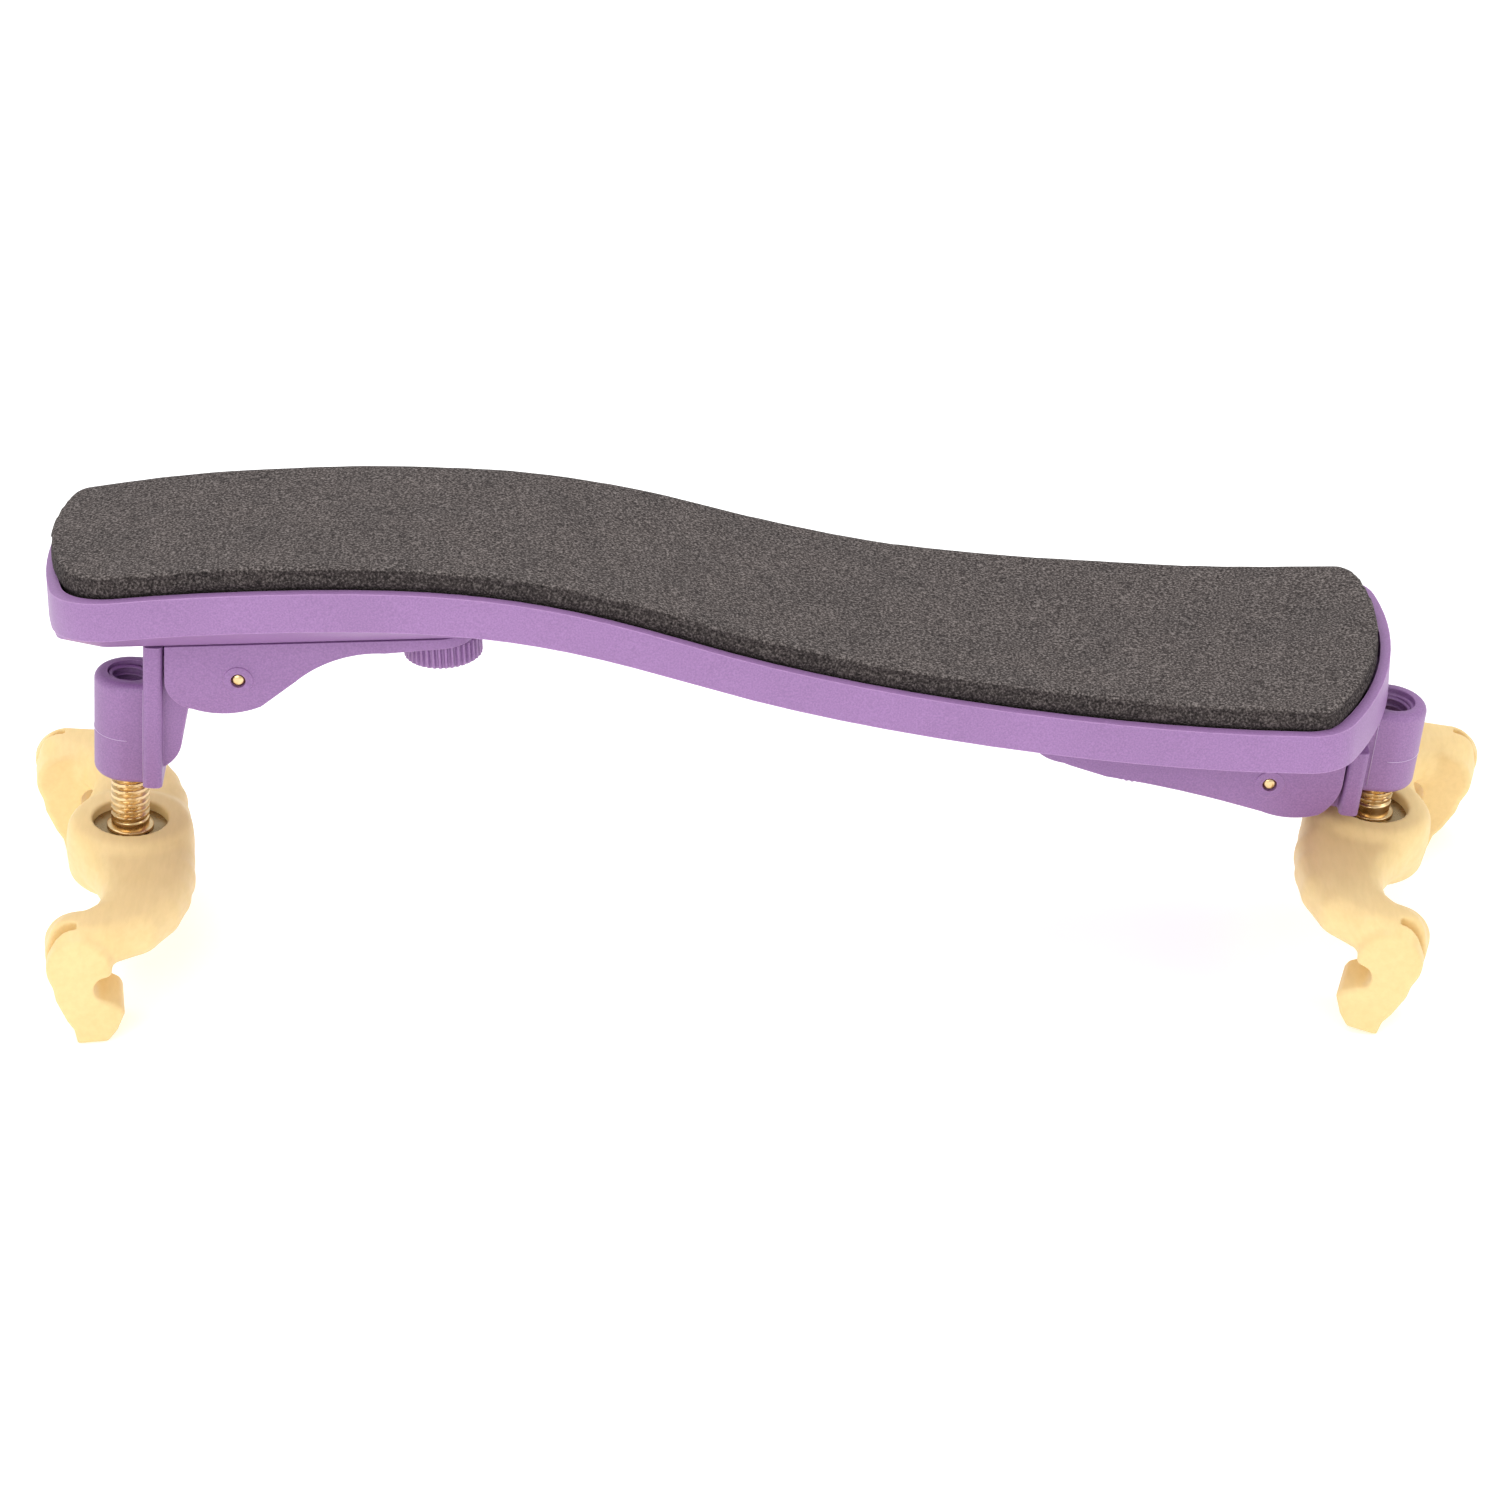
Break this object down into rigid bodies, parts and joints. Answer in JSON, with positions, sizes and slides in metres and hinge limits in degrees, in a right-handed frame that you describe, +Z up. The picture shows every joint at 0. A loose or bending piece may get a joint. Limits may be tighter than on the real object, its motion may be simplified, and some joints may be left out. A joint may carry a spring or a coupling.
{
  "type": "violin shoulder rest",
  "caption": "Curved padded shoulder rest for a violin with a folding, height-adjustable clawed foot under each end.",
  "frame": {"origin": "middle of the bounding box in x and y, on the floor under the claws", "axes": "+X along the tray from the tall foot to the short foot, +Y away from the viewer, +Z up"},
  "size_m": [0.249, 0.0754, 0.0775],
  "materials": {
    "tray_plastic": "satin moulded purple plastic",
    "bracket_plastic": "satin moulded purple plastic",
    "post_plastic": "satin moulded purple plastic",
    "wheel_plastic": "satin moulded purple plastic, ribbed rim",
    "washer_plastic": "plain off-white nylon",
    "fork_rubber": "matt tan rubber",
    "foam": "dark grey speckled closed-cell foam",
    "adhesive": "thin double-sided film",
    "brass": "turned brass"
  },
  "bodies": {
    "base": {"base_tray": "tray_plastic", "foam_pad": "foam", "pad_adhesive": "adhesive", "left_base_insert": "brass", "right_base_insert": "brass"},
    "left_bracket": {"left_bracket": "bracket_plastic", "left_pivot_pin": "brass"},
    "left_post": {"left_post": "post_plastic"},
    "left_bush": {"left_fork_insert": "brass"},
    "left_fork": {"left_fork": "fork_rubber", "left_fork_stem": "brass"},
    "left_washer": {"left_slot_washer": "washer_plastic"},
    "left_knob": {"left_thumb_wheel": "wheel_plastic", "left_thumb_stud": "brass"},
    "right_bracket": {"right_bracket": "bracket_plastic", "right_pivot_pin": "brass"},
    "right_post": {"right_post": "post_plastic"},
    "right_bush": {"right_fork_insert": "brass"},
    "right_fork": {"right_fork": "fork_rubber", "right_fork_stem": "brass"},
    "right_washer": {"right_slot_washer": "washer_plastic"},
    "right_knob": {"right_thumb_wheel": "wheel_plastic", "right_thumb_stud": "brass"}
  },
  "joints": [
    {"name": "left_width_slide", "type": "slide", "parent": "base", "child": "left_bracket", "axis": [0.9997, 0.0002, 0.0262], "range_m": [0, 0.0115]},
    {"name": "left_fold", "type": "hinge", "parent": "left_bracket", "child": "left_post", "pos_m": [-0.08449, 0.00136, 0.0509], "axis": [0, -1, 0.0075], "range_deg": [0, 90]},
    {"name": "left_height_slide", "type": "slide", "parent": "left_post", "child": "left_bush", "axis": [0.0558, 0.0075, 0.9984], "range_m": [-0.00254, 0.00889]},
    {"name": "left_fork_turn", "type": "hinge", "parent": "left_bush", "child": "left_fork", "pos_m": [-0.10569, 0.00097, -0.00056], "axis": [0.0558, 0.0075, 0.9984], "range_deg": [-720, 2520]},
    {"name": "left_washer_drop", "type": "slide", "parent": "base", "child": "left_washer", "axis": [0.0262, -0.0075, -0.9996], "range_m": [0, 0.002]},
    {"name": "left_knob_turn", "type": "hinge", "parent": "left_washer", "child": "left_knob", "pos_m": [-0.0516, 0.00137, 0.05176], "axis": [0.0262, -0.0075, -0.9996], "range_deg": [0, 900]},
    {"name": "right_width_slide", "type": "slide", "parent": "base", "child": "right_bracket", "axis": [0.9997, 0.0008, -0.0262], "range_m": [0, 0.0115]},
    {"name": "right_fold", "type": "hinge", "parent": "right_bracket", "child": "right_post", "pos_m": [0.08371, 0.00136, 0.0313], "axis": [0, 0.9995, 0.0305], "range_deg": [0, 90]},
    {"name": "right_height_slide", "type": "slide", "parent": "right_post", "child": "right_bush", "axis": [0.1167, -0.0303, 0.9927], "range_m": [-0.00508, 0.00064]},
    {"name": "right_fork_turn", "type": "hinge", "parent": "right_bush", "child": "right_fork", "pos_m": [0.09941, 0.00228, 0.00123], "axis": [0.1167, -0.0303, 0.9927], "range_deg": [-1440, 180]},
    {"name": "right_washer_drop", "type": "slide", "parent": "base", "child": "right_washer", "axis": [-0.0262, 0.0305, -0.9992], "range_m": [0, 0.0016]},
    {"name": "right_knob_turn", "type": "hinge", "parent": "right_washer", "child": "right_knob", "pos_m": [0.06262, 0.00134, 0.03185], "axis": [-0.0262, 0.0305, -0.9992], "range_deg": [0, 720]}
  ],
  "couplings": [
    {"joint": "left_fork_turn", "follows": "left_height_slide", "rad_per_m": 4947.4},
    {"joint": "left_knob_turn", "follows": "left_washer_drop", "rad_per_m": 7854},
    {"joint": "right_fork_turn", "follows": "right_height_slide", "rad_per_m": 4947.4},
    {"joint": "right_knob_turn", "follows": "right_washer_drop", "rad_per_m": 7854}
  ]
}
